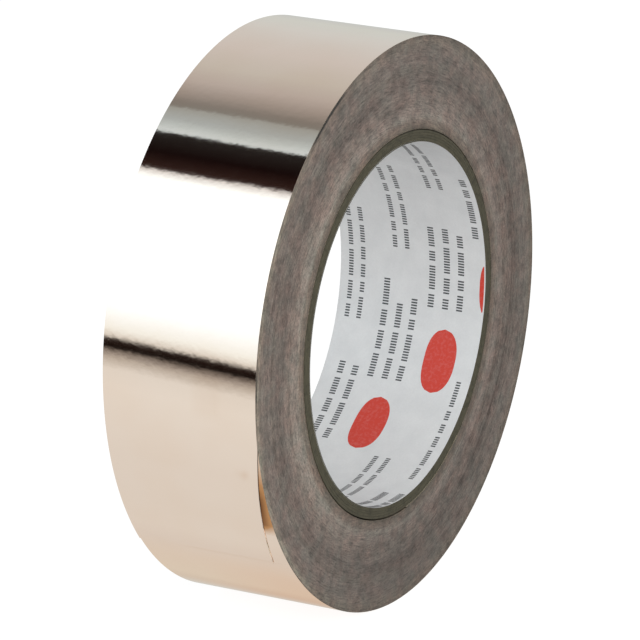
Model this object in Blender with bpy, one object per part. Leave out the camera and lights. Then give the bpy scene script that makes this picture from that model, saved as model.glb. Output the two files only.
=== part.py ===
"""Copper foil tape roll, standing on its rim.

A spirally wound paperboard core carries about a hundred turns of tape. The tape
is copper foil on an adhesive film, with a release liner between the turns. The
last quarter of the outermost turn is free to peel: it is a chain of short
stiff lengths with a bend line between each pair, and the liner under it is a
second chain that opens half as far, so it parts from the adhesive.

The roll's axis lies along Y. The near side face is at -Y and +Z is up. All round
pieces share one angular grid, with a flat facet at the lowest point, so thin
layers lie on each other with an even gap.
"""

import math

import bmesh
import bpy
from mathutils import Matrix, Vector

MM = 0.001

# Driving dimensions
TAPE_WIDTH = 35.0 * MM
BORE_DIAMETER = 76.2 * MM
CORE_WALL = 2.4 * MM
OUTER_DIAMETER = 120.3 * MM

# Layers of the core and of the tape
INNER_PLY = 0.20 * MM
BOARD_PLIES = 4
LINER = 0.100 * MM
ADHESIVE = 0.030 * MM
FOIL = 0.035 * MM
STARTER_STRIP = 0.06 * MM
LAYER_GAP = 0.015 * MM

# Angular grid
FACETS = 72
FACET_ANGLE = 2.0 * math.pi / FACETS
FREE_END_ANGLE = math.radians(222.5)

# Free end
PEEL_SEGMENTS = 6
FACETS_PER_SEGMENT = 3
BEND_GAP = 0.30 * MM
TRIM_DEPTH = 3.7 * MM
TRIM_SEGMENTS = 2

# Starter strip and first turn
FIRST_TURN_START = 11
STARTER_FACETS = 7

# Derived sizes
TAPE_PITCH = LINER + ADHESIVE + FOIL + 3.0 * LAYER_GAP
BORE_RADIUS = BORE_DIAMETER / 2.0
CORE_RADIUS = BORE_RADIUS + CORE_WALL
BOARD_PLY = (CORE_WALL - INNER_PLY - BOARD_PLIES * LAYER_GAP) / BOARD_PLIES
FIRST_TURN_RADIUS = CORE_RADIUS + STARTER_STRIP + 2.0 * LAYER_GAP
LAST_TURN_RADIUS = OUTER_DIAMETER / 2.0 - 2.0 * TAPE_PITCH + LAYER_GAP
HINGE_FACET = FACETS - PEEL_SEGMENTS * FACETS_PER_SEGMENT
FACET_LENGTH = OUTER_DIAMETER / 2.0 * FACET_ANGLE
END_TRIM = BEND_GAP / 2.0 / FACET_LENGTH

# Drawing and cutting
WELD_DISTANCE = 0.001 * MM
SHARP_ANGLE = math.radians(35.0)
ARROW_SIZE = 10.0 * MM
CUTTER_DEPTH = 12.0 * MM
CUTTER_REACH = 20.0 * MM

# Radial limits of each layer, measured up from the turn's inner surface
TAPE_LAYERS = {
    "liner": (0.0, LINER),
    "adhesive": (LINER + LAYER_GAP, LINER + LAYER_GAP + ADHESIVE),
    "foil": (TAPE_PITCH - LAYER_GAP - FOIL, TAPE_PITCH - LAYER_GAP),
}

# Colour, roughness and metallic value of each stuff
STUFFS = {
    "foil": ((0.92, 0.74, 0.62), 0.12, 1.0),
    "adhesive": ((0.55, 0.44, 0.34), 0.35, 0.0),
    "liner": ((0.74, 0.69, 0.60), 0.50, 0.0),
    "pack": ((0.19, 0.16, 0.14), 0.60, 0.0),
    "board": ((0.10, 0.09, 0.06), 0.85, 0.0),
    "paper": ((0.74, 0.76, 0.78), 0.50, 0.0),
    "strip": ((0.60, 0.50, 0.34), 0.50, 0.0),
}


def clear_scene():
    for thing in list(bpy.data.objects):
        bpy.data.objects.remove(thing, do_unlink=True)


def new_collection(name):
    group = bpy.data.collections.new(name)
    bpy.context.scene.collection.children.link(group)
    return group


def make_material(name, stuff):
    colour, roughness, metallic = STUFFS[stuff]
    material = bpy.data.materials.new(name)
    material.use_nodes = True
    shader = material.node_tree.nodes["Principled BSDF"]
    shader.inputs["Base Color"].default_value = (*colour, 1.0)
    shader.inputs["Roughness"].default_value = roughness
    shader.inputs["Metallic"].default_value = metallic
    material.diffuse_color = (*colour, 1.0)
    return material


def spiral_vertex(index, radius, first=0):
    """A corner of the winding's polygon, rising one tape pitch a turn."""
    angle = FREE_END_ANGLE + index * FACET_ANGLE
    reach = radius + TAPE_PITCH * (index - first) / FACETS
    return Vector((reach * math.cos(angle), reach * math.sin(angle), 0.0))


def lowest_radius():
    """How far the lowest corners lie under the axis, beside the facet it stands on."""
    outer = LAST_TURN_RADIUS + TAPE_LAYERS["foil"][1]
    corners = [spiral_vertex(index, outer) for index in range(HINGE_FACET)]
    return -min(corner.y for corner in corners)


CENTRE_HEIGHT = lowest_radius()


def world_place(flat_point):
    return Vector((flat_point.x, 0.0, CENTRE_HEIGHT + flat_point.y))


def spiral_point(place, radius, first=0):
    """A point on the polygon's side, at a whole or fractional facet place."""
    low = math.floor(place)
    share = place - low
    start = spiral_vertex(low, radius, first)
    if share < 1e-9:
        return start
    return start.lerp(spiral_vertex(low + 1, radius, first), share)


def circle_point(place, radius):
    angle = FREE_END_ANGLE + place * FACET_ANGLE
    return Vector((radius * math.cos(angle), radius * math.sin(angle), 0.0))


def circle_outline(radius):
    return [circle_point(index, radius) for index in range(FACETS)]


def spiral_outline(radius, first=0):
    """One whole turn of the spiral, closed by the step where it overlaps."""
    return [spiral_vertex(first + index, radius, first) for index in range(FACETS + 1)]


def strip_outline(start, end, inner, outer, first=0):
    """A layer that follows the spiral from one facet place to another."""
    places = [start]
    for index in range(math.floor(start) + 1, math.ceil(end)):
        places.append(float(index))
    places.append(end)
    top = [spiral_point(place, outer, first) for place in places]
    bottom = [spiral_point(place, inner, first) for place in reversed(places)]
    return top + bottom


def add_solid(name, outlines, width, stuff, group):
    """A flat outline, with any hole in it, extruded across the tape's width."""
    curve = bpy.data.curves.new(name + "_outline", "CURVE")
    curve.dimensions = "2D"
    curve.fill_mode = "BOTH"
    curve.extrude = width / 2.0
    for outline in outlines:
        spline = curve.splines.new("POLY")
        spline.points.add(len(outline) - 1)
        for point, place in zip(spline.points, outline):
            point.co = (place.x, place.y, 0.0, 1.0)
        spline.use_cyclic_u = True
    drawing = bpy.data.objects.new(name + "_drawing", curve)
    drawing.rotation_euler = (math.pi / 2.0, 0.0, 0.0)
    drawing.location = (0.0, 0.0, CENTRE_HEIGHT)
    group.objects.link(drawing)
    bpy.context.view_layer.update()
    evaluated = drawing.evaluated_get(bpy.context.evaluated_depsgraph_get())
    mesh = bpy.data.meshes.new_from_object(evaluated)
    weld_caps(mesh)
    solid = bpy.data.objects.new(name, mesh)
    solid.matrix_world = drawing.matrix_world.copy()
    group.objects.link(solid)
    bpy.data.objects.remove(drawing, do_unlink=True)
    mesh.name = name
    mesh.materials.clear()
    mesh.materials.append(make_material(name, stuff))
    mesh.shade_smooth()
    mesh.set_sharp_from_angle(angle=SHARP_ANGLE)
    return solid


def weld_caps(mesh):
    work = bmesh.new()
    work.from_mesh(mesh)
    bmesh.ops.remove_doubles(work, verts=work.verts, dist=WELD_DISTANCE)
    bmesh.ops.recalc_face_normals(work, faces=work.faces)
    work.to_mesh(mesh)
    work.free()


def add_axis(name, place, group, parent=None):
    """An empty on a turning axis, which runs along Y through it."""
    axis = bpy.data.objects.new(name, None)
    axis.empty_display_type = "SINGLE_ARROW"
    axis.empty_display_size = ARROW_SIZE
    group.objects.link(axis)
    axis.location = place
    if parent is not None:
        hold(axis, parent)
    bpy.context.view_layer.update()
    return axis


def hold(piece, parent):
    piece.parent = parent
    piece.matrix_parent_inverse = parent.matrix_world.inverted()


def add_core(group, roll_axis):
    inner = BORE_RADIUS
    outer = inner + INNER_PLY
    outlines = [circle_outline(outer), circle_outline(inner)]
    hold(add_solid("core_inner_ply", outlines, TAPE_WIDTH, "paper", group), roll_axis)
    for ply in range(BOARD_PLIES):
        inner = outer + LAYER_GAP
        outer = inner + BOARD_PLY
        outlines = [circle_outline(outer), circle_outline(inner)]
        name = f"core_board_ply_{ply + 1}"
        hold(add_solid(name, outlines, TAPE_WIDTH, "board", group), roll_axis)


def add_starter_strip(group, roll_axis):
    inner = CORE_RADIUS + LAYER_GAP
    outer = inner + STARTER_STRIP
    places = [FIRST_TURN_START + index for index in range(STARTER_FACETS + 1)]
    top = [circle_point(place, outer) for place in places]
    bottom = [circle_point(place, inner) for place in reversed(places)]
    name = "core_starter_strip"
    hold(add_solid(name, [top + bottom], TAPE_WIDTH, "strip", group), roll_axis)


def add_turn(prefix, start, end, radius, first, group, parent):
    """The three layers of a length of tape, liner inside and foil outside."""
    for layer, (low, high) in TAPE_LAYERS.items():
        outline = strip_outline(start, end, radius + low, radius + high, first)
        solid = add_solid(f"{prefix}_{layer}", [outline], TAPE_WIDTH, layer, group)
        hold(solid, parent)


def add_wound_turns(group, roll_axis):
    """All the turns between the first and the last, as one wound body."""
    outer = spiral_outline(LAST_TURN_RADIUS - LAYER_GAP)
    inner_radius = FIRST_TURN_RADIUS + TAPE_PITCH
    inner = spiral_outline(inner_radius, FIRST_TURN_START)
    solid = add_solid("wound_turns", [outer, inner], TAPE_WIDTH, "pack", group)
    hold(solid, roll_axis)


def add_trim_cutter(group):
    """A block whose side leans across the tape, from its edge at the trim's start."""
    start = FACETS - TRIM_SEGMENTS * FACETS_PER_SEGMENT
    corner = world_place(spiral_point(start, OUTER_DIAMETER / 2.0))
    end = world_place(spiral_point(FACETS, OUTER_DIAMETER / 2.0))
    corner.y = -TAPE_WIDTH / 2.0
    end.y = corner.y + TRIM_DEPTH
    along = (end - corner).normalized()
    middle = (start + FACETS) / 2.0
    outward = world_place(spiral_point(middle, 1.0)) - Vector((0.0, 0.0, CENTRE_HEIGHT))
    across = outward.normalized().cross(along).normalized()
    if across.y > 0.0:
        across = -across
    radial = along.cross(across).normalized()
    length = (end - corner).length * 2.0
    bpy.ops.mesh.primitive_cube_add(size=1.0)
    block = bpy.context.object
    block.name = "free_end_trim_cutter"
    turn = Matrix((along, across, radial)).transposed().to_4x4()
    centre = (corner + end) / 2.0 + across * CUTTER_DEPTH / 2.0
    block.matrix_world = Matrix.Translation(centre) @ turn @ Matrix.Diagonal(
        (length, CUTTER_DEPTH, CUTTER_REACH, 1.0)
    )
    for holder in list(block.users_collection):
        holder.objects.unlink(block)
    group.objects.link(block)
    block.hide_render = True
    block.display_type = "WIRE"
    return block


def cut(piece, cutter):
    boolean = piece.modifiers.new("oblique_trim", "BOOLEAN")
    boolean.operation = "DIFFERENCE"
    boolean.solver = "EXACT"
    boolean.object = cutter


def add_free_end(group, roll_axis, cutter):
    """Two chains of stiff lengths: foil with its adhesive, and the liner below."""
    tape_parent = roll_axis
    liner_parent = roll_axis
    for segment in range(PEEL_SEGMENTS):
        number = segment + 1
        start = HINGE_FACET + segment * FACETS_PER_SEGMENT
        end = start + FACETS_PER_SEGMENT
        foil_top = LAST_TURN_RADIUS + TAPE_LAYERS["foil"][1]
        liner_top = LAST_TURN_RADIUS + TAPE_LAYERS["liner"][1]
        tape_place = world_place(spiral_point(start, foil_top))
        liner_place = world_place(spiral_point(start, liner_top))
        tape_name = f"free_end_bend_{number}"
        tape_parent = add_axis(tape_name, tape_place, group, tape_parent)
        liner_name = f"free_liner_bend_{number}"
        liner_parent = add_axis(liner_name, liner_place, group, liner_parent)
        last = number == PEEL_SEGMENTS
        finish = end if last else end - END_TRIM
        for layer, (low, high) in TAPE_LAYERS.items():
            inner = LAST_TURN_RADIUS + low
            outer = LAST_TURN_RADIUS + high
            outline = strip_outline(start + END_TRIM, finish, inner, outer)
            name = f"free_end_{layer}_{number}"
            piece = add_solid(name, [outline], TAPE_WIDTH, layer, group)
            hold(piece, liner_parent if layer == "liner" else tape_parent)
            if number > PEEL_SEGMENTS - TRIM_SEGMENTS:
                cut(piece, cutter)


def main():
    clear_scene()
    group = new_collection("copper_foil_tape_roll")
    cutters = new_collection("cutters")
    roll_axis = add_axis("roll_axis", Vector((0.0, 0.0, CENTRE_HEIGHT)), group)
    add_core(group, roll_axis)
    add_starter_strip(group, roll_axis)
    first_end = FIRST_TURN_START + FACETS - END_TRIM
    add_turn("first_turn", FIRST_TURN_START, first_end, FIRST_TURN_RADIUS,
             FIRST_TURN_START, group, roll_axis)
    add_wound_turns(group, roll_axis)
    add_turn("last_turn", END_TRIM, HINGE_FACET - END_TRIM, LAST_TURN_RADIUS,
             0, group, roll_axis)
    cutter = add_trim_cutter(cutters)
    add_free_end(group, roll_axis, cutter)


main()
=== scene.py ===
"""Copper foil tape roll: smooth wound layers, a free end in short lengths and a printed core."""

import math

import bmesh
import bpy
import numpy as np
from mathutils import Matrix, Vector


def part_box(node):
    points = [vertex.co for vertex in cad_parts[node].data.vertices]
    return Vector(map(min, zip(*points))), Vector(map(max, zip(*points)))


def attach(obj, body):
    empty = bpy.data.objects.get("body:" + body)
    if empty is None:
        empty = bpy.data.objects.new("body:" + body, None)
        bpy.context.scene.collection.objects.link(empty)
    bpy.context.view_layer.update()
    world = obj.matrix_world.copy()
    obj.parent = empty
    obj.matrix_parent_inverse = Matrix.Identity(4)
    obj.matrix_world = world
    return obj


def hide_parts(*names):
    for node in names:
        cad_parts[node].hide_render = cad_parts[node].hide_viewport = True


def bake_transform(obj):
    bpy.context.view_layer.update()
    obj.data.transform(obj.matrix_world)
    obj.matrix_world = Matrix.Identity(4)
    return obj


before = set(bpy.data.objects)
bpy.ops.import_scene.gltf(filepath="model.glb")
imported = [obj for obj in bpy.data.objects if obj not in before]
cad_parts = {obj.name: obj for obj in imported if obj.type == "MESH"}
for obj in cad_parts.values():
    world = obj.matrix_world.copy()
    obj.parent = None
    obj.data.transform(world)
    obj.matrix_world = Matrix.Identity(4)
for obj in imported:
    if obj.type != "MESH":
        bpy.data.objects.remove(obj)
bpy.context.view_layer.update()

MM = 0.001
TURN = 2.0 * math.pi

# The winding, as the CAD has it
CORE_LOW, CORE_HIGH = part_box("core_inner_ply")
CENTRE = (CORE_LOW.z + CORE_HIGH.z) / 2.0
HALF_WIDTH = (CORE_HIGH.y - CORE_LOW.y) / 2.0
BORE = 38.1 * MM
INNER_PLY = 0.20 * MM
BOARD_PLIES = 4
LAYER_GAP = 0.015 * MM
CORE_OUTSIDE = 40.5 * MM
STARTER = 0.06 * MM
STARTER_LENGTH = math.radians(35.0)
PITCH = 0.21 * MM
FREE_END = math.radians(222.5)
LAST_TURN = 59.745 * MM
FIRST_TURN = 40.59 * MM
FIRST_TURN_START = math.radians(277.5)
FIRST_TURN_STOP = 0.003
LAYERS = {"liner": (0.0, 0.100 * MM), "adhesive": (0.115 * MM, 0.145 * MM),
          "foil": (0.160 * MM, 0.195 * MM)}
SEGMENTS = 6
SEGMENT_ANGLE = math.radians(15.0)
HINGE = FREE_END - SEGMENTS * SEGMENT_ANGLE
TRIM_ANGLE = 2 * SEGMENT_ANGLE
TRIM_DEPTH = 3.7 * MM

FOIL_COLOUR = (0.92, 0.74, 0.62)
BOARD_COLOUR = (0.075, 0.066, 0.040)
WHITE = (1.0, 1.0, 1.0)

# Unevenness of the wound foil: height in mm, cycles round and across, phase
RIPPLES = ((0.0035, 7.0, 90.0, 0.6), (0.0030, 15.0, -160.0, 2.1), (0.0012, 31.0, 210.0, 4.0))

# Lean of the outer foil's shading normals, which slants its reflected bands:
# in degrees at LEAN_WIDTH from the middle, with more of it from LEAN_START on
LEAN_LEAST, LEAN_EXTRA = 0.55, 0.60
LEAN_START, LEAN_SPAN = 138.0, 39.0
LEAN_WIDTH = 24.0 * MM


# ---------------------------------------------------------------- material tools
class Shader:
    """A Principled material under construction."""

    def __init__(self, name, colour, roughness, metallic=0.0):
        self.material = bpy.data.materials.new(name)
        self.material.use_nodes = True
        self.tree = self.material.node_tree
        self.principled = self.tree.nodes["Principled BSDF"]
        self.set("Base Color", (*colour, 1.0))
        self.set("Roughness", roughness)
        self.set("Metallic", metallic)
        self.material.diffuse_color = (*colour, 1.0)

    def set(self, socket, value):
        self.principled.inputs[socket].default_value = value

    def node(self, kind, **settings):
        node = self.tree.nodes.new("ShaderNode" + kind)
        for key, value in settings.items():
            setattr(node, key, value)
        return node

    def link(self, source, target):
        self.tree.links.new(source, target)

    def feed(self, socket, source):
        self.link(source, self.principled.inputs[socket])

    def math(self, operation, first, second):
        node = self.node("Math", operation=operation)
        for place, value in enumerate((first, second)):
            if isinstance(value, (int, float)):
                node.inputs[place].default_value = value
            else:
                self.link(value, node.inputs[place])
        return node.outputs[0]

    def mix(self, factor, first, second, blend="MIX"):
        node = self.node("Mix", data_type="RGBA", blend_type=blend)
        for place, value in ((0, factor), (6, first), (7, second)):
            if isinstance(value, (int, float)):
                node.inputs[place].default_value = value
            elif isinstance(value, tuple):
                node.inputs[place].default_value = (*value, 1.0)
            else:
                self.link(value, node.inputs[place])
        return node.outputs[2]

    def remap(self, value, low, high, to_low, to_high):
        node = self.node("MapRange")
        self.link(value, node.inputs[0])
        for place, number in enumerate((low, high, to_low, to_high)):
            node.inputs[place + 1].default_value = number
        return node.outputs[0]

    def ramp(self, value, stops):
        node = self.node("ValToRGB")
        self.link(value, node.inputs[0])
        elements = node.color_ramp.elements
        while len(elements) < len(stops):
            elements.new(0.5)
        for element, (place, colour) in zip(elements, stops):
            element.position = place
            element.color = (*colour, 1.0)
        return node.outputs[0]

    def noise(self, vector, scale, detail=3.0, rough=0.55):
        node = self.node("TexNoise")
        node.inputs["Scale"].default_value = scale
        node.inputs["Detail"].default_value = detail
        node.inputs["Roughness"].default_value = rough
        self.link(vector, node.inputs["Vector"])
        return node.outputs[0]

    def place(self):
        """Position on the piece, in metres, from the roll's centre."""
        shift = self.node("VectorMath", operation="SUBTRACT")
        self.link(self.node("TexCoord").outputs["Object"], shift.inputs[0])
        shift.inputs[1].default_value = (0.0, 0.0, CENTRE)
        return shift.outputs[0]

    def wound(self, around, along, outward):
        """Position stretched along the winding: cycles round, across and outward."""
        parts = self.node("SeparateXYZ")
        self.link(self.place(), parts.inputs[0])
        flat = self.node("CombineXYZ")
        self.link(parts.outputs[0], flat.inputs[0])
        self.link(parts.outputs[2], flat.inputs[2])
        length = self.node("VectorMath", operation="LENGTH")
        self.link(flat.outputs[0], length.inputs[0])
        unit = self.node("VectorMath", operation="NORMALIZE")
        self.link(flat.outputs[0], unit.inputs[0])
        spread = self.node("VectorMath", operation="SCALE")
        self.link(unit.outputs[0], spread.inputs[0])
        spread.inputs[3].default_value = around
        rise = self.math("MULTIPLY", length.outputs[1], outward)
        across = self.math("MULTIPLY", parts.outputs[1], along)
        tail = self.node("CombineXYZ")
        self.link(rise, tail.inputs[0])
        self.link(self.math("ADD", rise, across), tail.inputs[1])
        self.link(across, tail.inputs[2])
        total = self.node("VectorMath", operation="ADD")
        self.link(spread.outputs[0], total.inputs[0])
        self.link(tail.outputs[0], total.inputs[1])
        return total.outputs[0], length.outputs[1]

    def attribute(self, name):
        return self.node("Attribute", attribute_name=name).outputs["Fac"]

    def bump(self, height, strength, distance):
        node = self.node("Bump")
        node.inputs["Strength"].default_value = strength
        node.inputs["Distance"].default_value = distance
        self.link(height, node.inputs["Height"])
        self.feed("Normal", node.outputs[0])


def from_srgb(*channels):
    """Linear colour from 8 bit sRGB."""
    linear = []
    for channel in channels:
        share = channel / 255.0
        if share <= 0.04045:
            linear.append(share / 12.92)
        else:
            linear.append(((share + 0.055) / 1.055) ** 2.4)
    return tuple(linear)


FOIL_DEEPER = (0.985, 0.965, 0.945)
# Painted reflection: the warmer copper tone low on the outer turn.
WARM_REFLECTION_TINT = (0.90, 0.50, 0.30)
# Tarnish beside the trim, with painted shadow and painted reflection, from light to dark.
TARNISH_AND_SHADE = [(0.0, (0.66, 0.38, 0.20)), (0.65, (0.56, 0.27, 0.11)), (1.0, (0.22, 0.085, 0.03))]


def foil_material():
    """Bright rolled copper: a faint haze along the strip and soft handling marks."""
    shader = Shader("copper_foil", FOIL_COLOUR, 0.05, 1.0)
    streaks, _ = shader.wound(1.2, 260.0, 0.0)
    rolled = shader.noise(streaks, 1.0, 4.0)
    blotches = shader.noise(shader.place(), 55.0, 2.0)
    deep = tuple(channel * share for channel, share in zip(FOIL_COLOUR, FOIL_DEEPER))
    factor = shader.remap(blotches, 0.42, 0.70, 0.0, 1.0)
    colour = shader.mix(factor, FOIL_COLOUR, deep)
    # Real stains, and painted shadow and reflection beside the trim, come in on this mark.
    stain_and_shade = shader.attribute("stain_and_shade")
    tarnish_and_shade_colour = shader.ramp(stain_and_shade, TARNISH_AND_SHADE)
    colour = shader.mix(shader.remap(stain_and_shade, 0.0, 0.6, 0.0, 1.0), colour, tarnish_and_shade_colour)
    # Painted reflection: warmer copper low on the outer turn.
    colour = shader.mix(shader.attribute("warm_reflection"), colour, WARM_REFLECTION_TINT)
    shader.feed("Base Color", colour)
    shader.feed("Roughness", shader.remap(rolled, 0.3, 0.75, 0.042, 0.062))
    shader.bump(shader.noise(shader.place(), 620.0, 2.0, 0.5), 1.0, 0.008 * MM)
    return shader.material


def adhesive_material():
    """Clear amber acrylic film, tacky, with coating lines along the strip."""
    shader = Shader("adhesive_film", (0.42, 0.36, 0.29), 0.32)
    streaks, _ = shader.wound(2.0, 700.0, 0.0)
    lines = shader.noise(streaks, 1.0, 3.0)
    colour = shader.ramp(lines, [(0.30, (0.47, 0.38, 0.29)), (0.70, (0.62, 0.50, 0.39))])
    shader.feed("Base Color", colour)
    shader.feed("Roughness", shader.remap(lines, 0.3, 0.7, 0.24, 0.42))
    shader.bump(lines, 0.25, 0.02 * MM)
    return shader.material


def liner_material():
    """Calendered release paper: short fibres, a waxy sheen."""
    shader = Shader("release_liner", (0.74, 0.69, 0.60), 0.45)
    fibres = shader.noise(shader.place(), 2600.0, 4.0, 0.65)
    cloud = shader.noise(shader.place(), 260.0, 2.0)
    tone = shader.ramp(fibres, [(0.32, (0.66, 0.60, 0.50)), (0.68, (0.80, 0.76, 0.68))])
    colour = shader.mix(shader.remap(cloud, 0.35, 0.7, 0.0, 0.35), tone, (0.72, 0.66, 0.55))
    shader.feed("Base Color", colour)
    shader.feed("Roughness", shader.remap(fibres, 0.3, 0.7, 0.38, 0.55))
    shader.bump(fibres, 0.3, 0.02 * MM)
    return shader.material


# Tone of the slit face by radius in mm, in 8 bit sRGB, measured in the photo
SIDE_TONES = [
    (38.0, (84, 80, 66)), (40.4, (92, 84, 70)), (41.1, (102, 89, 78)), (42.2, (120, 105, 95)),
    (43.3, (133, 122, 113)), (44.4, (129, 115, 107)), (45.7, (124, 110, 102)),
    (48.0, (122, 108, 100)), (50.0, (113, 101, 94)), (51.8, (108, 95, 88)),
    (53.6, (112, 101, 93)), (55.3, (116, 104, 97)), (57.2, (116, 104, 96)),
    (58.7, (118, 106, 96)), (60.2, (108, 95, 85)),
]
# What varies that tone: source, its low and high, and the brightness at each
SIDE_LEVELS = (
    ("turns", 0.30, 0.70, 0.74, 1.26), ("bands", 0.30, 0.70, 0.84, 1.16),
    ("nicks", 0.28, 0.52, 0.38, 1.08), ("spots", 0.28, 0.58, 0.60, 1.10),
    # The next row is painted shade: dark slots at the near rim.
    ("grain", 0.30, 0.70, 0.76, 1.24), ("slot_shade", 0.0, 1.0, 1.0, 0.10),
    ("shade", 0.0, 1.0, 1.0, 0.80),
)
SIDE_TINTS = [(0.36, (0.95, 1.02, 1.01)), (0.64, (1.05, 0.985, 0.965))]
# Painted light: how far the lighter places on the near slit face are lifted.
PAINTED_SIDE_LIGHT_LIFT = (1.50, 1.60, 1.56)
BARE_COLOUR = (0.85, 0.74, 0.62)


def side_material():
    """The slit edges of the wound turns: greyed copper, film and paper."""
    shader = Shader("wound_tape", (0.19, 0.15, 0.13), 0.55)
    fine, radius = shader.wound(16.0, 0.0, 5200.0)
    broad, _ = shader.wound(4.0, 0.0, 900.0)
    least, most = SIDE_TONES[0][0], SIDE_TONES[-1][0]
    place = shader.remap(radius, least * MM, most * MM, 0.0, 1.0)
    stops = [((reach - least) / (most - least), from_srgb(*tone)) for reach, tone in SIDE_TONES]
    colour = shader.ramp(place, stops)
    dashes, _ = shader.wound(34.0, 0.0, 2600.0)
    sources = {
        "turns": shader.noise(fine, 1.0, 3.0, 0.7),
        "bands": shader.noise(broad, 1.0, 3.0, 0.6),
        "nicks": shader.noise(dashes, 1.0, 3.0, 0.65),
        "spots": shader.noise(shader.place(), 430.0, 3.0, 0.62),
        "grain": shader.noise(shader.place(), 2300.0, 2.0, 0.6),
        "slot_shade": shader.attribute("slot_shade"),
        "shade": shader.attribute("shade"),
    }
    colour = shader.mix(shader.attribute("bare"), colour, BARE_COLOUR)
    for source, low, high, dark, light in SIDE_LEVELS:
        level = shader.remap(sources[source], low, high, dark, light)
        tone = shader.node("CombineColor")
        for channel in range(3):
            shader.link(level, tone.inputs[channel])
        colour = shader.mix(1.0, colour, tone.outputs[0], "MULTIPLY")
    hues = shader.noise(shader.place(), 240.0, 2.0, 0.6)
    colour = shader.mix(1.0, colour, shader.ramp(hues, SIDE_TINTS), "MULTIPLY")
    # Painted light: lighter places on the near slit face, by the core and at the rim.
    lift = shader.mix(shader.attribute("pale"), WHITE, PAINTED_SIDE_LIGHT_LIFT)
    colour = shader.mix(1.0, colour, lift, "MULTIPLY")
    shader.feed("Base Color", colour)
    shader.feed("Roughness", shader.remap(sources["turns"], 0.3, 0.7, 0.42, 0.66))
    shader.bump(sources["turns"], 0.5, 0.04 * MM)
    return shader.material


def board_material(name, tint):
    """Cut paperboard: grey-olive fibre with pressed dark specks."""
    shader = Shader(name, tint, 0.85)
    fine, _ = shader.wound(14.0, 60.0, 3800.0)
    fibres = shader.noise(fine, 1.0, 4.0, 0.65)
    specks = shader.noise(shader.place(), 900.0, 2.0)
    dark = tuple(channel * 0.66 for channel in tint)
    light = tuple(min(1.0, channel * 1.32) for channel in tint)
    tone = shader.ramp(fibres, [(0.28, dark), (0.72, light)])
    level = shader.remap(specks, 0.30, 0.50, 0.0, 1.0)
    shader.feed("Base Color", shader.mix(level, dark, tone))
    shader.bump(fibres, 0.6, 0.06 * MM)
    return shader.material


def paper_material():
    """White coated paper on the inside of the core, with soft fibre clouds."""
    shader = Shader("core_paper", (0.66, 0.67, 0.67), 0.48)
    cloud = shader.noise(shader.place(), 210.0, 3.0)
    fibres = shader.noise(shader.place(), 2400.0, 3.0, 0.6)
    tone = shader.ramp(cloud, [(0.30, (0.665, 0.68, 0.683)), (0.70, (0.73, 0.745, 0.745))])
    level = shader.remap(fibres, 0.3, 0.7, 0.0, 0.18)
    shader.feed("Base Color", shader.mix(level, tone, (0.52, 0.53, 0.53)))
    shader.feed("Roughness", shader.remap(fibres, 0.3, 0.7, 0.42, 0.58))
    shader.bump(fibres, 0.25, 0.02 * MM)
    return shader.material


def ink_material(name, colour):
    """Offset ink with slightly starved patches."""
    shader = Shader(name, colour, 0.5)
    patches = shader.noise(shader.place(), 1500.0, 3.0, 0.6)
    pale = tuple(channel + (0.75 - channel) * 0.10 for channel in colour)
    shader.feed("Base Color", shader.ramp(patches, [(0.46, colour), (0.82, pale)]))
    return shader.material


def strip_material():
    """Thin tan starter tape that holds the first turn to the core."""
    shader = Shader("starter_strip", (0.60, 0.50, 0.34), 0.5)
    fine, _ = shader.wound(30.0, 900.0, 0.0)
    crepe = shader.noise(fine, 1.0, 3.0)
    stops = [(0.3, (0.52, 0.42, 0.27)), (0.7, (0.68, 0.58, 0.42))]
    shader.feed("Base Color", shader.ramp(crepe, stops))
    shader.bump(crepe, 0.4, 0.03 * MM)
    return shader.material


# ---------------------------------------------------------------- mesh tools
class Solid:
    """Faces with their own corner normals and material numbers."""

    def __init__(self):
        self.points = []
        self.count = 0
        self.faces = []
        self.normals = []
        self.slots = []

    def grid(self, points):
        """Adds a grid of points, shape (rows, columns, 3), and returns its numbers."""
        shape = points.shape[:2]
        numbers = np.arange(shape[0] * shape[1]).reshape(shape) + self.count
        self.points.append(points.reshape(-1, 3))
        self.count += shape[0] * shape[1]
        return numbers

    def marked(self, marks):
        """Each mark's name and its value at every point."""
        points = np.concatenate(self.points)
        height = points[:, 2] - CENTRE
        turn = np.degrees(np.arctan2(height, points[:, 0])) % 360.0
        radius = np.hypot(points[:, 0], height) / MM
        across = points[:, 1] / MM
        return [(label, make(turn, radius, across)) for label, make in (marks or {}).items()]

    def skin(self, corners, normals, slot):
        """Quads from four equal arrays of point numbers, with a normal per corner."""
        quads = np.stack([corner.reshape(-1) for corner in corners], axis=1)
        given = []
        for corner, normal in zip(corners, normals):
            full = np.broadcast_to(normal, corner.shape + (3,))
            given.append(full.reshape(-1, 3))
        self.faces.append(quads)
        self.normals.append(np.stack(given, axis=1).reshape(-1, 3))
        self.slots.append(np.full(len(quads), slot))

    def build(self, name, materials, marks=None):
        mesh = bpy.data.meshes.new(name)
        faces = np.concatenate(self.faces)
        mesh.from_pydata(np.concatenate(self.points).tolist(), [], faces.tolist())
        for material in materials:
            mesh.materials.append(material)
        mesh.polygons.foreach_set("material_index", np.concatenate(self.slots).astype(np.int32))
        mesh.polygons.foreach_set("use_smooth", np.ones(len(faces), bool))
        for label, values in self.marked(marks):
            layer = mesh.attributes.new(label, "FLOAT", "POINT")
            layer.data.foreach_set("value", values.astype(np.float32))
        mesh.normals_split_custom_set(np.concatenate(self.normals).tolist())
        mesh.update()
        made = bpy.data.objects.new(name, mesh)
        bpy.context.scene.collection.objects.link(made)
        return made


def quad_corners(grid, flip=False):
    """The four corner arrays of a grid's cells, in order, of its numbers or normals."""
    a, b = grid[:-1, :-1], grid[:-1, 1:]
    c, d = grid[1:, 1:], grid[1:, :-1]
    return (a, d, c, b) if flip else (a, b, c, d)


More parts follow.
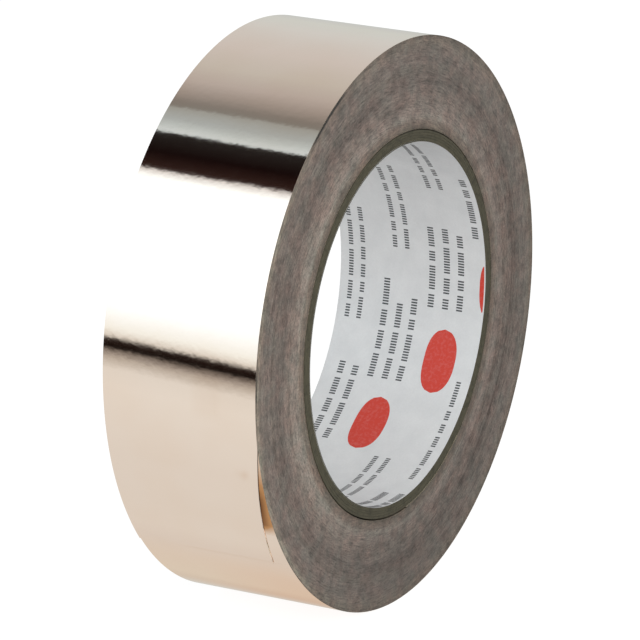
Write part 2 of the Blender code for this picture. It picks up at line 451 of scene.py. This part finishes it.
def ripple(angle, across):
    """The slight unevenness of a hand-laid foil, in metres of radius."""
    height = 0.0
    for size, round_cycles, across_cycles, phase in RIPPLES:
        height = height + size * np.sin(round_cycles * angle + across_cycles * across + phase)
    return height * MM


def to_world(angle, radius, across):
    """Points in the CAD's frame from places on the winding."""
    angle, radius, across = np.broadcast_arrays(angle, radius, across)
    flat = (radius * np.cos(angle), across, CENTRE + radius * np.sin(angle))
    return np.stack(flat, axis=-1)


def surface_normals(angle, across, radius):
    """Outward normals of a cylinder whose radius carries the ripple, leaning a little."""
    step = 1e-4
    slope_round = (ripple(angle + step, across) - ripple(angle - step, across)) / (2.0 * step)
    slope_round = slope_round / radius
    side = 1e-5
    slope_across = (ripple(angle, across + side) - ripple(angle, across - side)) / (2.0 * side)
    share = np.clip((np.degrees(angle) % 360.0 - LEAN_START) / LEAN_SPAN, 0.0, 1.0)
    lean = -np.radians(LEAN_LEAST + LEAN_EXTRA * share) * across / LEAN_WIDTH
    slope_round = slope_round + lean
    x = np.cos(angle) + slope_round * np.sin(angle)
    z = np.sin(angle) - slope_round * np.cos(angle)
    normal = np.stack(np.broadcast_arrays(x, -slope_across, z), axis=-1)
    return normal / np.linalg.norm(normal, axis=-1, keepdims=True)


NEAR = np.array((0.0, -1.0, 0.0))
FAR = np.array((0.0, 1.0, 0.0))
RING_COLUMNS = 240


def strip(name, start, end, low, high, materials, rows=24, step=0.5, trim=None, wave=1.0,
          marks=None):
    """A layer that follows the winding from one angle to another, as a closed solid."""
    columns = max(2, int(math.ceil(math.degrees(end - start) / step))) + 1
    angle = np.linspace(start, end, columns)[:, None]
    near = np.full((columns, 1), -HALF_WIDTH)
    if trim is not None:
        near = near + trim(angle)
    share = np.linspace(0.0, 1.0, rows)[None, :]
    across = near + (HALF_WIDTH - near) * share
    rise = wave * ripple(angle, across)
    solid = Solid()
    outer = solid.grid(to_world(angle, high(angle) + rise, across))
    inner = solid.grid(to_world(angle, low(angle) + rise, across))
    normals = surface_normals(angle, across, high(angle))
    solid.skin(quad_corners(outer), quad_corners(normals), 0)
    solid.skin(quad_corners(inner, True), quad_corners(-normals, True), 0)
    for column, facing, flip in ((0, NEAR, False), (-1, FAR, True)):
        rim = np.stack([inner[:, column], outer[:, column]], axis=1)
        corners = quad_corners(rim, flip)
        solid.skin(corners, (facing,) * 4, len(materials) - 1)
    for row, flip in ((0, False), (-1, True)):
        sign = 1.0 if flip else -1.0
        turn = float(angle[row, 0])
        facing = np.array((-math.sin(turn), 0.0, math.cos(turn))) * sign
        end_face = np.stack([outer[row], inner[row]], axis=0)
        solid.skin(quad_corners(end_face, not flip), (facing,) * 4, 0)
    return solid.build(name, materials, marks)


def ring(name, low, high, materials, rows=2, soft=0.0):
    """A closed ring across the tape's width, with slightly chamfered rims."""
    columns = RING_COLUMNS
    angle = np.linspace(0.0, TURN, columns + 1)[:, None]
    solid = Solid()
    middle = np.linspace(-HALF_WIDTH + soft, HALF_WIDTH - soft, rows)
    profile = [(high, place) for place in middle] + [(low, place) for place in middle[::-1]]
    if soft > 0.0:
        near_face = [(low + soft, -HALF_WIDTH), (high - soft, -HALF_WIDTH)]
        far_face = [(high - soft, HALF_WIDTH), (low + soft, HALF_WIDTH)]
        profile = profile[:rows] + far_face + profile[rows:] + near_face
    count = len(profile)
    reach = np.array([place[0] for place in profile])[None, :]
    across = np.array([place[1] for place in profile])[None, :]
    points = to_world(angle[:-1], reach, across)
    numbers = solid.grid(points)
    closed = np.concatenate([numbers, numbers[:1]], axis=0)
    for place in range(count):
        after = (place + 1) % count
        first, second = profile[place], profile[after]
        along = (second[1] - first[1], -(second[0] - first[0]))
        length = math.hypot(*along)
        tilt = (along[0] / length, along[1] / length)
        facing = np.stack([tilt[0] * np.cos(angle), np.full_like(angle, tilt[1]),
                           tilt[0] * np.sin(angle)], axis=-1)
        band = np.stack([closed[:, place], closed[:, after]], axis=1)
        pair = np.concatenate([facing, facing], axis=1)
        on_rim = abs(along[1]) > abs(along[0])
        solid.skin(quad_corners(band), quad_corners(pair), len(materials) - 1 if on_rim else 0)
    return solid.build(name, materials)


# ---------------------------------------------------------------- pieces
def turn_radius(base):
    """Radius on the last turn, which rises one pitch up to the free end."""
    return lambda angle: base + PITCH * (1.0 + (angle - FREE_END) / TURN)


def first_radius(base):
    return lambda angle: base + PITCH * (angle - FIRST_TURN_START) / TURN


def trim(angle):
    """How far the near edge is cut back, towards the free end."""
    share = (angle - (FREE_END - TRIM_ANGLE)) / TRIM_ANGLE
    return TRIM_DEPTH * np.clip(share, 0.0, 1.0)


def finish(piece, node):
    """The piece rides on the roll and stands for a CAD node."""
    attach(piece, "roll")
    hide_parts(node)


def add_core():
    """The printed paper ply and the board plies round it, in two close shades."""
    rim = board_material("core_paper_rim", BOARD_COLOUR)
    bore = ring("core_paper_bore", BORE, BORE + INNER_PLY, [paper_material(), rim], rows=12)
    finish(bore, "core_inner_ply")
    ply = (CORE_OUTSIDE - BORE - INNER_PLY - BOARD_PLIES * LAYER_GAP) / BOARD_PLIES
    low = BORE + INNER_PLY + LAYER_GAP
    for number in range(1, BOARD_PLIES + 1):
        shade = 0.92 + 0.06 * (number % 2)
        tint = tuple(channel * shade for channel in BOARD_COLOUR)
        board = board_material(f"core_board_{number}", tint)
        piece = ring(f"core_board_{number}", low, low + ply, [board], soft=0.05 * MM)
        finish(piece, f"core_board_ply_{number}")
        low = low + ply + LAYER_GAP


# The print: how far it stands off the paper, how thick it is, its bare margin, and
# the place of the first oval and the steps to the next one in a column and in a row
PRINT_LIFT = 0.02 * MM
PRINT_INK = 0.008 * MM
PRINT_MARGIN = 0.3 * MM
PRINT_TURN, PRINT_ACROSS = math.radians(-51.3), 1.75 * MM
COLUMN_TURN, COLUMN_STEP = math.radians(25.4), -10.8 * MM
REPEAT_TURN, REPEAT_STEP = math.radians(132.0), -2.6 * MM

OVAL_HALF_TURN, OVAL_HALF_WIDTH = math.radians(10.6), 3.7 * MM
OVAL_POWER = 2.6
OVAL_BANDS = 28
THINNEST = 1e-5

# Groups of dashed lines: turn from the oval and length in degrees, height of the
# marks and the places of the lines across, in mm
LINE_GROUPS = ((17.0, 26.0, 2.0, (4.2, 0.7, -2.7)), (60.5, 35.0, 1.5, (2.3, -0.6)))
MARK_WIDTH, MARK_PITCH, MARK_GAP = 0.34 * MM / BORE, 0.60 * MM / BORE, 0.9 * MM / BORE
MARK_LOW, MARK_HIGH = 0.31, 0.40
MARKS_LEAST, MARKS_LIMIT = 4, 11

RED_INK = (0.60, 0.042, 0.022)
GREY_INK = (0.055, 0.058, 0.06)


def patch(solid, outline):
    """A small printed area: a list of (angle, across) corners, as a thin closed solid."""
    face = BORE - PRINT_LIFT
    points = np.array([[to_world(turn, face + lift, across) for lift in (0.0, PRINT_INK)]
                       for turn, across in outline]).reshape(len(outline), 2, 3)
    numbers = solid.grid(points)
    turn = sum(place[0] for place in outline) / len(outline)
    inward = np.array((-math.cos(turn), 0.0, -math.sin(turn)))
    quad = numbers[:, 0].reshape(4, 1, 1)
    back = numbers[:, 1].reshape(4, 1, 1)
    solid.skin(tuple(quad), (inward,) * 4, 0)
    solid.skin((back[0], back[3], back[2], back[1]), (-inward,) * 4, 0)
    for place in range(4):
        after = (place + 1) % 4
        side = (quad[place], back[place], back[after], quad[after])
        edge = points[after, 0] - points[place, 0]
        facing = np.cross(edge, inward)
        facing = facing / np.linalg.norm(facing)
        solid.skin(side, (facing,) * 4, 0)


def inside_width(*places):
    return all(abs(place) < HALF_WIDTH - PRINT_MARGIN for place in places)


def add_print():
    """Plain red ovals and dashed lines of even hatch marks: no lettering."""
    random = np.random.default_rng(11)
    red, grey = Solid(), Solid()
    for repeat in (-1, 0, 1):
        for column in range(-4, 5):
            turn = COLUMN_TURN * column + REPEAT_TURN * repeat + PRINT_TURN
            across = PRINT_ACROSS + COLUMN_STEP * column + REPEAT_STEP * repeat
            add_oval(red, turn, across)
            for start, length, height, reaches in LINE_GROUPS:
                for reach in reaches:
                    add_ticks(grey, random, turn + math.radians(start), math.radians(length),
                              across + reach * MM, height * MM)
    for name, solid, colour in (("core_print_red", red, RED_INK),
                                ("core_print_grey", grey, GREY_INK)):
        piece = solid.build(name, [ink_material(name, colour)])
        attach(piece, "roll")


def add_oval(solid, turn, across):
    """An oval as a fan of short bands between its two sides."""
    clip = HALF_WIDTH - PRINT_MARGIN
    for band in range(OVAL_BANDS):
        edges = []
        for place in (band, band + 1):
            share = -1.0 + 2.0 * place / OVAL_BANDS
            bow = math.sqrt(max(0.0, 1.0 - abs(share) ** OVAL_POWER))
            edges.append((turn + OVAL_HALF_TURN * share, OVAL_HALF_WIDTH * bow + THINNEST))
        (a, reach_a), (b, reach_b) = edges
        low = [max(-clip, across - reach) for reach in (reach_a, reach_b)]
        high = [min(clip, across + reach) for reach in (reach_a, reach_b)]
        if min(high[0] - low[0], high[1] - low[1]) >= THINNEST:
            patch(solid, [(a, low[0]), (b, low[1]), (b, high[1]), (a, high[0])])


def add_ticks(solid, random, start, length, across, height):
    """A dashed line of even hatch marks, all of one height."""
    place, end = start, start + length
    low, high = across - height * MARK_LOW, across + height * MARK_HIGH
    while place < end and inside_width(low, high):
        for _ in range(int(random.integers(MARKS_LEAST, MARKS_LIMIT))):
            after = place + MARK_WIDTH
            patch(solid, [(place, low), (after, low), (after, high), (place, high)])
            place += MARK_PITCH
        place += MARK_GAP


def steady(base):
    """A radius that stays the same round the core."""
    return lambda angle: base + 0.0 * angle


def add_first_turn(stuffs, side):
    """The turn on the core. Its liner shows only as a line, in the side face's dark tone: painted
    shade for the slot beside the core.
    """
    start = FIRST_TURN_START
    low = CORE_OUTSIDE + LAYER_GAP
    piece = strip("starter_strip", start, start + STARTER_LENGTH, steady(low),
                  steady(low + STARTER), [strip_material(), side], rows=2, step=1.0, wave=0.0)
    finish(piece, "core_starter_strip")
    for layer, (low, high) in LAYERS.items():
        # Painted shade: the liner takes the slit face's dark material, for the shaded slot by the
        # core.
        piece = strip(f"inner_turn_{layer}", start, start + TURN - FIRST_TURN_STOP,
                      first_radius(FIRST_TURN + low), first_radius(FIRST_TURN + high),
                      [side if layer == "liner" else stuffs[layer], side], rows=2,
                      step=1.5, wave=0.0)
        finish(piece, f"first_turn_{layer}")


PACK_COLUMNS = 240
PACK_TURNS = 91
FOIL_ROWS, LAYER_ROWS = 24, 8
LAST_TURN_SETBACK = math.radians(0.004)


# Marks are values from 0 to 1 at each point of a piece, by its turn in degrees, its
# radius in mm and its place across the tape in mm. The materials read them.
def ramp_up(value, low, high):
    return np.clip((value - low) / (high - low), 0.0, 1.0)


def window(value, low, high, soft):
    """1 between low and high, and 0 outside, with soft edges."""
    falling = 1.0 - ramp_up(value, high - soft, high + soft)
    return ramp_up(value, low - soft, low + soft) * falling


def painted_rim_slot_shade(turn, radius, across):
    """Dark places at the near rim, painted where the photo shows dark slots: painted shade in
    those slots.
    """
    upper = window(turn, 117.0, 131.0, 1.2) * ramp_up(radius, 59.15, 59.3)
    lower = window(turn, 176.5, 185.0, 1.5) * ramp_up(radius, 59.2, 59.45)
    broken = 0.6 + 0.4 * np.sin(np.radians(turn * 71.0)) * np.sin(np.radians(turn * 29.0))
    return (upper + lower * broken) * (across < -16.0)


def low_shade(turn, radius, across):
    """A slightly darker zone low on the slit face."""
    return np.clip(1.0 - np.abs(turn - 276.0) / 62.0, 0.0, 1.0)


def painted_side_light(turn, radius, across):
    """Painted light on the near slit face: lighter places by the core on the left, and at the
    rim.
    """
    inner = window(turn, 128.0, 240.0, 18.0) * window(radius, 41.6, 47.5, 1.4)
    rim = window(turn, 138.0, 236.0, 10.0) * ramp_up(radius, 58.5, 59.1)
    return (0.38 * inner + rim) * (across < 0.0)


def sliver_tarnish_and_shade(turn, radius, across):
    """The copper bared beside the oblique trim: tarnish, with a painted shadow and painted
    reflection of the trim, darkest against the trim.
    """
    place = ramp_up(turn, 193.0, 204.0) * (1.0 - ramp_up(turn, 211.0, 213.0))
    edge = HALF_WIDTH / MM - TRIM_DEPTH / MM * ramp_up(turn, 192.5, 222.5)
    deep = 1.0 - 0.42 * ramp_up(-across - edge, 0.2, 1.8)
    return place * deep * ramp_up(-across, 13.0, 14.2) * (radius > 59.0)


def bare_edge(turn, radius, across):
    """The oblique cut, where the edges of foil and film are clean."""
    return ramp_up(turn, 204.0, 211.0) * (1.0 - ramp_up(turn, 223.0, 223.5)) * (across > -17.2)


def foil_stains_and_end_shade(turn, radius, across):
    """Faint marks on the outer turn: a stain patch and spot, and a line near the free end, which
    is painted shade at its step.
    """
    patch_mark = window(turn, 178.5, 187.5, 1.2) * window(across, -9.5, -3.5, 0.8)
    spot = np.exp(-(((turn - 198.6) * 1.05) ** 2 + (across + 13.5) ** 2) / 1.1)
    # Painted shade: a dark line at the step of the free end.
    line = window(turn, 221.7, 222.6, 0.2) * window(across, -14.5, 7.0, 3.0)
    return 0.05 * patch_mark + 0.14 * spot + 0.05 * line


# Painted reflection: how warm the copper is made at each turn.
WARM_TURNS = (222.0, 226.0, 230.0, 234.0, 238.0, 243.0, 262.0, 290.0)
WARM_AMOUNTS = (0.0, 0.12, 0.26, 0.36, 0.52, 0.90, 0.90, 0.0)


def painted_warm_reflection(turn, radius, across):
    """Painted reflection: warmer copper low on the outer turn, most on its near side, for the
    warm light it reflects from below.
    """
    amount = np.interp(turn, WARM_TURNS, WARM_AMOUNTS)
    share = ramp_up(turn, 236.0, 243.0)
    return amount * ramp_up(-across, -8.0 - 6.0 * share, 12.0 - 8.0 * share)


PACK_MARKS = {"stain_and_shade": sliver_tarnish_and_shade, "slot_shade": painted_rim_slot_shade, "shade": low_shade, "pale": painted_side_light}
FOIL_MARKS = {"stain_and_shade": foil_stains_and_end_shade, "slot_shade": painted_rim_slot_shade, "shade": low_shade, "bare": bare_edge,
              "warm_reflection": painted_warm_reflection}


# Relief of the slit face in mm: mean depth, drift and jump from turn to turn, limits
RELIEF_MEAN, RELIEF_DRIFT, RELIEF_JUMP = 0.05, 0.010, 0.012
RELIEF_LEAST, RELIEF_MOST, RELIEF_LIMIT = 0.004, 0.16, 0.2
# A turn's outer edge: its place in the pitch and how far it dips, against its inner edge
EDGE_PLACE, EDGE_DIP, EDGE_SET = 0.62, 0.8, 0.012 * MM


def side_relief(turns, random):
    """How far each place on the slit face lies below the tape's edge, in metres."""
    steps = np.arange(-2, PACK_TURNS + 4)
    slow = np.cumsum(random.normal(0.0, RELIEF_DRIFT, len(steps)))
    slow = slow - np.linspace(slow[0], slow[-1], len(steps))
    jump = random.normal(0.0, RELIEF_JUMP, len(steps))
    depth = np.clip(RELIEF_MEAN + slow + jump, RELIEF_LEAST, RELIEF_MOST)
    wander = 0.010 * np.sin(TURN * turns * 1.37) + 0.006 * np.sin(TURN * turns * 3.11 + 1.0)
    return (np.interp(turns, steps, depth) + wander).clip(0.0, RELIEF_LIMIT) * MM


def add_wound_turns(foil, side):
    """All the turns between the first and the last, on one spiral line."""
    inner = FIRST_TURN + PITCH - 0.5 * LAYER_GAP
    outer = LAST_TURN - LAYER_GAP
    whole = PACK_TURNS + (FREE_END - FIRST_TURN_START) / TURN
    spins = int(round(whole * PACK_COLUMNS))
    rise = (outer - inner) / (spins / PACK_COLUMNS)
    turns = np.arange(spins + PACK_COLUMNS + 1) / PACK_COLUMNS
    angle = FREE_END + TURN * (turns - spins / PACK_COLUMNS)
    solid = Solid()
    random = np.random.default_rng(5)
    sides = []
    edge_outer = slice(spins, spins + PACK_COLUMNS + 1)
    for sign in (-1.0, 1.0):
        depth = side_relief(turns, random)
        depth[edge_outer] = 0.0
        low = to_world(angle, inner + rise * turns, sign * (HALF_WIDTH - depth))
        body = turns[:-PACK_COLUMNS]
        dip = side_relief(body + 0.5, random) * EDGE_DIP + EDGE_SET
        high = to_world(angle[:-PACK_COLUMNS], inner + rise * (body + EDGE_PLACE),
                        sign * (HALF_WIDTH - dip))
        first = solid.grid(low[:, None, :])[:, 0]
        second = solid.grid(high[:, None, :])[:, 0]
        facing = NEAR if sign < 0.0 else FAR
        flip = sign > 0.0
        bottom = np.stack([first[:spins + 1], second], axis=1)
        top = np.stack([second, first[PACK_COLUMNS:]], axis=1)
        for band in (bottom, top):
            solid.skin(quad_corners(band, flip), (facing,) * 4, 1)
        sides.append((first, low))
    share = np.linspace(0.0, 1.0, FOIL_ROWS + 1)[None, :, None]
    for edge, slot, flip in ((edge_outer, 0, False), (slice(0, PACK_COLUMNS + 1), 1, True)):
        near, far = sides[0][1][edge][:, None, :], sides[1][1][edge][:, None, :]
        between = near + (far - near) * share
        turn = angle[edge][:, None]
        inside = solid.grid(between[:, 1:-1])
        numbers = np.concatenate([sides[0][0][edge][:, None], inside, sides[1][0][edge][:, None]],
                                 axis=1)
        outward = np.broadcast_to(np.stack([np.cos(turn), 0.0 * turn, np.sin(turn)], axis=-1),
                                  numbers.shape + (3,))
        if flip:
            outward = -outward
        solid.skin(quad_corners(numbers, flip), quad_corners(outward, flip), slot)
        step_face = np.stack([numbers[-1], numbers[0]], axis=0)
        turn = float(angle[edge][0])
        sign = -1.0 if flip else 1.0
        facing = np.array((-math.sin(turn), 0.0, math.cos(turn))) * sign
        solid.skin(quad_corners(step_face, flip), (facing,) * 4, 1)
    piece = solid.build("wound_tape_pack", [foil, side], PACK_MARKS)
    finish(piece, "wound_turns")


def add_last_turn(stuffs, side):
    """The turn from the pack's end up to the middle of the first stiff length."""
    start = FREE_END - TURN + LAST_TURN_SETBACK
    end = HINGE - SEGMENT_ANGLE / 2.0
    for layer, (low, high) in LAYERS.items():
        rows, step = (FOIL_ROWS, 0.75) if layer == "foil" else (LAYER_ROWS, 1.5)
        piece = strip(f"outer_turn_{layer}", start, end, turn_radius(LAST_TURN + low),
                      turn_radius(LAST_TURN + high), [stuffs[layer], side], rows=rows,
                      step=step, marks=FOIL_MARKS)
        finish(piece, f"last_turn_{layer}")


def add_free_end(stuffs, side):
    """Each length runs from the middle of one CAD segment to the middle of the next."""
    for layer, (low, high) in LAYERS.items():
        rows = FOIL_ROWS if layer == "foil" else LAYER_ROWS
        for number in range(1, SEGMENTS + 1):
            start = HINGE + (number - 1.5) * SEGMENT_ANGLE
            middle = start + SEGMENT_ANGLE
            end = FREE_END if number == SEGMENTS else middle
            piece = strip(f"peel_{layer}_{number}", start, end, turn_radius(LAST_TURN + low),
                          turn_radius(LAST_TURN + high), [stuffs[layer], side], rows=rows,
                          trim=trim, marks=FOIL_MARKS)
            radius = LAST_TURN + high
            first, last = (to_world(turn, radius, 0.0) for turn in (start, middle))
            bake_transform(piece)
            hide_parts(f"free_end_{layer}_{number}")


# ---------------------------------------------------------------- studio
# Brightness of the surroundings by direction round the roll's axis, in degrees from
# +X towards +Z. It was worked out from tones measured down the foil in the photo, then
# tuned, so that the foil reflects the photo's bands.
SURROUND = [
    (-79.0, (0.74, 0.75, 0.73)), (-66.0, (0.74, 0.72, 0.66)), (-48.0, (0.73, 0.69, 0.60)),
    (-40.0, (0.68, 0.62, 0.53)), (-28.0, (0.66, 0.63, 0.57)), (-16.0, (0.66, 0.68, 0.65)),
    (-8.0, (0.57, 0.60, 0.58)), (0.0, (0.60, 0.64, 0.63)), (8.0, (0.64, 0.71, 0.70)),
    (16.0, (0.655, 0.735, 0.75)), (24.0, (0.67, 0.745, 0.775)),
    (48.0, (0.65, 0.69, 0.72)), (64.0, (0.58, 0.62, 0.62)),
    (74.0, (0.50, 0.51, 0.52)), (81.0, (0.36, 0.365, 0.365)), (86.0, (0.24, 0.25, 0.25)),
    (88.4, (0.23, 0.25, 0.25)), (89.8, (0.36, 0.43, 0.45)), (95.0, (0.42, 0.53, 0.59)),
    (98.5, (0.54, 0.69, 0.77)), (101.4, (0.68, 0.86, 0.97)), (102.2, (0.02, 0.02, 0.02)),
    (111.0, (0.008, 0.004, 0.004)), (118.0, (0.03, 0.016, 0.014)), (119.4, (0.8, 0.90, 0.98)),
    (123.0, (1.3, 1.6, 1.8)), (166.0, (1.4, 1.7, 1.9)), (177.0, (1.15, 1.40, 1.60)),
    (184.6, (1.0, 1.16, 1.22)), (187.6, (0.78, 0.84, 0.84)), (189.4, (0.02, 0.012, 0.01)),
    (192.2, (0.008, 0.005, 0.004)), (193.6, (0.20, 0.19, 0.18)), (196.6, (0.52, 0.53, 0.51)),
    (201.0, (0.81, 0.87, 0.88)), (208.0, (0.84, 0.90, 0.91)), (236.0, (0.78, 0.82, 0.82)),
    (256.0, (0.77, 0.81, 0.81)), (272.0, (0.77, 0.80, 0.79)), (281.0, (0.74, 0.75, 0.73)),
]
SURROUND_RADIUS = 12.0
SURROUND_LENGTH = 60.0
SURROUND_COLUMNS = 1440
FLOOR_HALF = 30.0
FLOOR_DROP, TABLE_DROP = -0.1 * MM, -0.3 * MM
BACKDROP_RADIUS = 6.0
WORLD_STRENGTH = 0.66
LAMP_AIM = (0.0, 0.0, 0.06)


def glow_material(name, strength, paleness):
    """A matt white that also glows."""
    material = bpy.data.materials.new(name)
    material.use_nodes = True
    tree = material.node_tree
    shader = tree.nodes["Principled BSDF"]
    shader.inputs["Base Color"].default_value = (paleness, paleness, paleness, 1.0)
    shader.inputs["Roughness"].default_value = 1.0
    shader.inputs["Specular IOR Level"].default_value = 0.0
    shader.inputs["Emission Color"].default_value = (*WHITE, 1.0)
    shader.inputs["Emission Strength"].default_value = strength
    return material


def add_surround():
    """A wide studio tunnel that only the foil's gloss can see."""
    places = np.array([stop[0] for stop in SURROUND])
    levels = np.array([stop[1] for stop in SURROUND])
    angles = np.linspace(places[0], places[-1], SURROUND_COLUMNS + 1)
    radians = np.radians(angles)
    glow = np.stack([np.interp(angles, places, levels[:, part]) for part in range(3)], axis=1)
    points = []
    for side in (-0.5, 0.5):
        points.append(np.stack([SURROUND_RADIUS * np.cos(radians),
                                np.full(len(radians), side * SURROUND_LENGTH),
                                CENTRE + SURROUND_RADIUS * np.sin(radians)], axis=1))
    count = len(angles)
    faces = [(i, i + 1, count + i + 1, count + i) for i in range(count - 1)]
    mesh = bpy.data.meshes.new("studio_surround")
    mesh.from_pydata(np.concatenate(points).tolist(), [], faces)
    layer = mesh.attributes.new("glow", "FLOAT_VECTOR", "POINT")
    layer.data.foreach_set("vector", np.concatenate([glow, glow]).astype(np.float32).ravel())
    material = bpy.data.materials.new("studio_surround")
    material.use_nodes = True
    tree = material.node_tree
    tree.nodes.clear()
    level = tree.nodes.new("ShaderNodeAttribute")
    level.attribute_name = "glow"
    emission = tree.nodes.new("ShaderNodeEmission")
    output = tree.nodes.new("ShaderNodeOutputMaterial")
    tree.links.new(level.outputs["Vector"], emission.inputs["Color"])
    tree.links.new(emission.outputs[0], output.inputs["Surface"])
    mesh.materials.append(material)
    tunnel = bpy.data.objects.new("studio_surround", mesh)
    bpy.context.scene.collection.objects.link(tunnel)
    for kind in ("camera", "diffuse", "transmission", "volume_scatter", "shadow"):
        setattr(tunnel, f"visible_{kind}", False)


def add_stage(name, mesh, material, height, hidden):
    """A stage piece, hidden from gloss and from the kinds of ray named."""
    mesh.materials.append(material)
    made = bpy.data.objects.new(name, mesh)
    bpy.context.scene.collection.objects.link(made)
    made.location = (0.0, 0.0, height)
    for kind in ("glossy", *hidden):
        setattr(made, f"visible_{kind}", False)


def plane_mesh(name, half):
    mesh = bpy.data.meshes.new(name)
    corners = [(-half, -half, 0.0), (half, -half, 0.0), (half, half, 0.0), (-half, half, 0.0)]
    mesh.from_pydata(corners, [], [(0, 1, 2, 3)])
    return mesh


def dome_mesh(name, radius):
    work = bmesh.new()
    bmesh.ops.create_icosphere(work, subdivisions=3, radius=radius)
    mesh = bpy.data.meshes.new(name)
    work.to_mesh(mesh)
    work.free()
    return mesh


def add_floor():
    """A pale table and backdrop: white as seen, and a softer bounce on the object."""
    add_stage("studio_floor", plane_mesh("studio_floor", FLOOR_HALF),
              glow_material("studio_floor", 0.9, 0.22), FLOOR_DROP, ["diffuse"])
    add_stage("studio_table", plane_mesh("studio_table", FLOOR_HALF),
              glow_material("studio_table", 0.0, 0.72), TABLE_DROP, ["camera"])
    add_stage("studio_backdrop", dome_mesh("studio_backdrop", BACKDROP_RADIUS),
              glow_material("studio_backdrop", 1.05, 0.0), 0.0,
              ["diffuse", "shadow", "transmission"])


def add_lamp(name, place, size, power):
    lamp = bpy.data.lights.new(name, "AREA")
    lamp.shape = "DISK"
    lamp.size = size
    lamp.energy = power
    holder = bpy.data.objects.new(name, lamp)
    bpy.context.scene.collection.objects.link(holder)
    holder.location = place
    away = Vector(place) - Vector(LAMP_AIM)
    holder.rotation_euler = away.to_track_quat("Z", "Y").to_euler()
    holder.visible_glossy = False
    holder.visible_camera = False


def add_world():
    world = bpy.data.worlds.new("studio")
    bpy.context.scene.world = world
    world.use_nodes = True
    backdrop = world.node_tree.nodes["Background"]
    backdrop.inputs["Color"].default_value = (*WHITE, 1.0)
    backdrop.inputs["Strength"].default_value = WORLD_STRENGTH


# The camera that was fitted to the photo: its direction from the roll, in degrees, its
# distance from the roll's centre, its lens in mm, and its small turns about its own
# axes, which set the roll's place in the frame
CAMERA_AZIMUTH, CAMERA_HEIGHT = -61.416, 14.318
CAMERA_DISTANCE = 1.0680
CAMERA_LENS, CAMERA_SENSOR = 289.73, 36.0
CAMERA_TURNS = (("X", 0.0805), ("Y", -0.068), ("Z", -1.700))
CAMERA_NEAREST, CAMERA_FARTHEST = 0.05, 200.0


def add_camera():
    """The photograph's view: from the left, a little above, turned by its small roll."""
    azimuth, height = math.radians(CAMERA_AZIMUTH), math.radians(CAMERA_HEIGHT)
    back = Vector((math.sin(azimuth) * math.cos(height),
                   -math.cos(azimuth) * math.cos(height), math.sin(height)))
    right = (-back).cross(Vector((0.0, 0.0, 1.0))).normalized()
    up = right.cross(-back).normalized()
    turn = Matrix.Identity(3)
    for axis, degrees in CAMERA_TURNS:
        turn = turn @ Matrix.Rotation(math.radians(degrees), 3, axis)
    facing = (turn @ Matrix((right, up, back))).transposed().to_4x4()
    lens = bpy.data.cameras.new("photo_camera")
    lens.sensor_width = CAMERA_SENSOR
    lens.lens = CAMERA_LENS
    lens.clip_start = CAMERA_NEAREST
    lens.clip_end = CAMERA_FARTHEST
    camera = bpy.data.objects.new("photo_camera", lens)
    bpy.context.scene.collection.objects.link(camera)
    spot = Vector((0.0, 0.0, CENTRE)) + back * CAMERA_DISTANCE
    camera.matrix_world = Matrix.Translation(spot) @ facing
    bpy.context.scene.camera = camera


def main():
    view = bpy.context.scene.view_settings
    view.view_transform = "Standard"
    view.look = "None"
    stuffs = {"foil": foil_material(), "adhesive": adhesive_material(),
              "liner": liner_material()}
    add_core()
    add_print()
    side = side_material()
    add_first_turn(stuffs, side)
    add_wound_turns(stuffs["foil"], side)
    add_last_turn(stuffs, side)
    add_free_end(stuffs, side)
    add_world()
    add_surround()
    add_floor()
    add_lamp("key_lamp", (-0.30, -0.27, 0.17), 0.15, 0.9)
    add_camera()


main()
